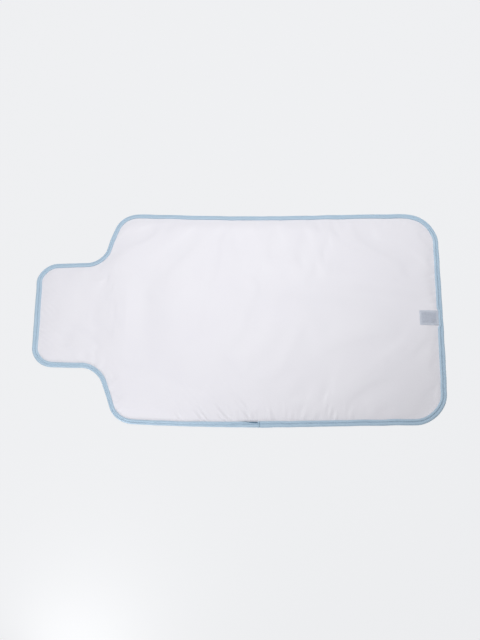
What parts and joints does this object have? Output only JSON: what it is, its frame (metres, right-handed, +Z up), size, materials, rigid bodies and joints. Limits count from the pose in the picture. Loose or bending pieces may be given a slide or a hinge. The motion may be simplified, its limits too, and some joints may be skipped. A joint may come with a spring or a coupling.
{
  "type": "changing pad",
  "caption": "Padded wipe-clean baby changing pad with a narrow head flap, bound edge and hook and loop closure, folding flat for travel.",
  "frame": {"origin": "middle of the length and width, on the underside that the pad lies on", "axes": "+X along the length from the head flap to the foot edge, +Y across the width, +Z up out of the top face"},
  "size_m": [0.65, 0.355, 0.007],
  "materials": {
    "top_fabric": "smooth wipe-clean laminated cotton, soft satin",
    "back_fabric": "matt plain weave",
    "foam": "thin foam wadding",
    "binding_tape": "light blue bias tape, satin weave",
    "binding_thread": "light blue polyester sewing thread",
    "closure_tape": "grey hook and loop tape",
    "patch_thread": "light grey polyester sewing thread"
  },
  "bodies": {
    "middle": {"top_cover_middle": "top_fabric", "back_cover_middle": "back_fabric", "foam_core_middle": "foam", "binding_middle": "binding_tape", "binding_end": "binding_tape", "binding_thread_middle": "binding_thread"},
    "upper": {"top_cover_upper": "top_fabric", "back_cover_upper": "back_fabric", "foam_core_upper": "foam", "binding_upper": "binding_tape", "binding_thread_upper": "binding_thread", "loop_patch": "closure_tape", "loop_patch_thread": "patch_thread"},
    "head": {"top_cover_head": "top_fabric", "back_cover_head": "back_fabric", "foam_core_head": "foam", "binding_head": "binding_tape", "binding_thread_head": "binding_thread"},
    "foot": {"top_cover_foot": "top_fabric", "back_cover_foot": "back_fabric", "foam_core_foot": "foam", "binding_foot": "binding_tape", "binding_thread_foot": "binding_thread", "hook_patch": "closure_tape", "hook_patch_thread": "patch_thread"}
  },
  "joints": [
    {"name": "upper_fold", "type": "hinge", "parent": "middle", "child": "upper", "pos_m": [-0.044, 0, 0.0095], "axis": [0, 1, 0], "range_deg": [0, 179.9]},
    {"name": "neck_fold", "type": "hinge", "parent": "upper", "child": "head", "pos_m": [-0.225, 0, 0.00625], "axis": [0, 1, 0], "range_deg": [0, 179.9]},
    {"name": "foot_fold", "type": "hinge", "parent": "middle", "child": "foot", "pos_m": [0.144, 0, 0.0132], "axis": [0, -1, 0], "range_deg": [0, 179.9]}
  ]
}
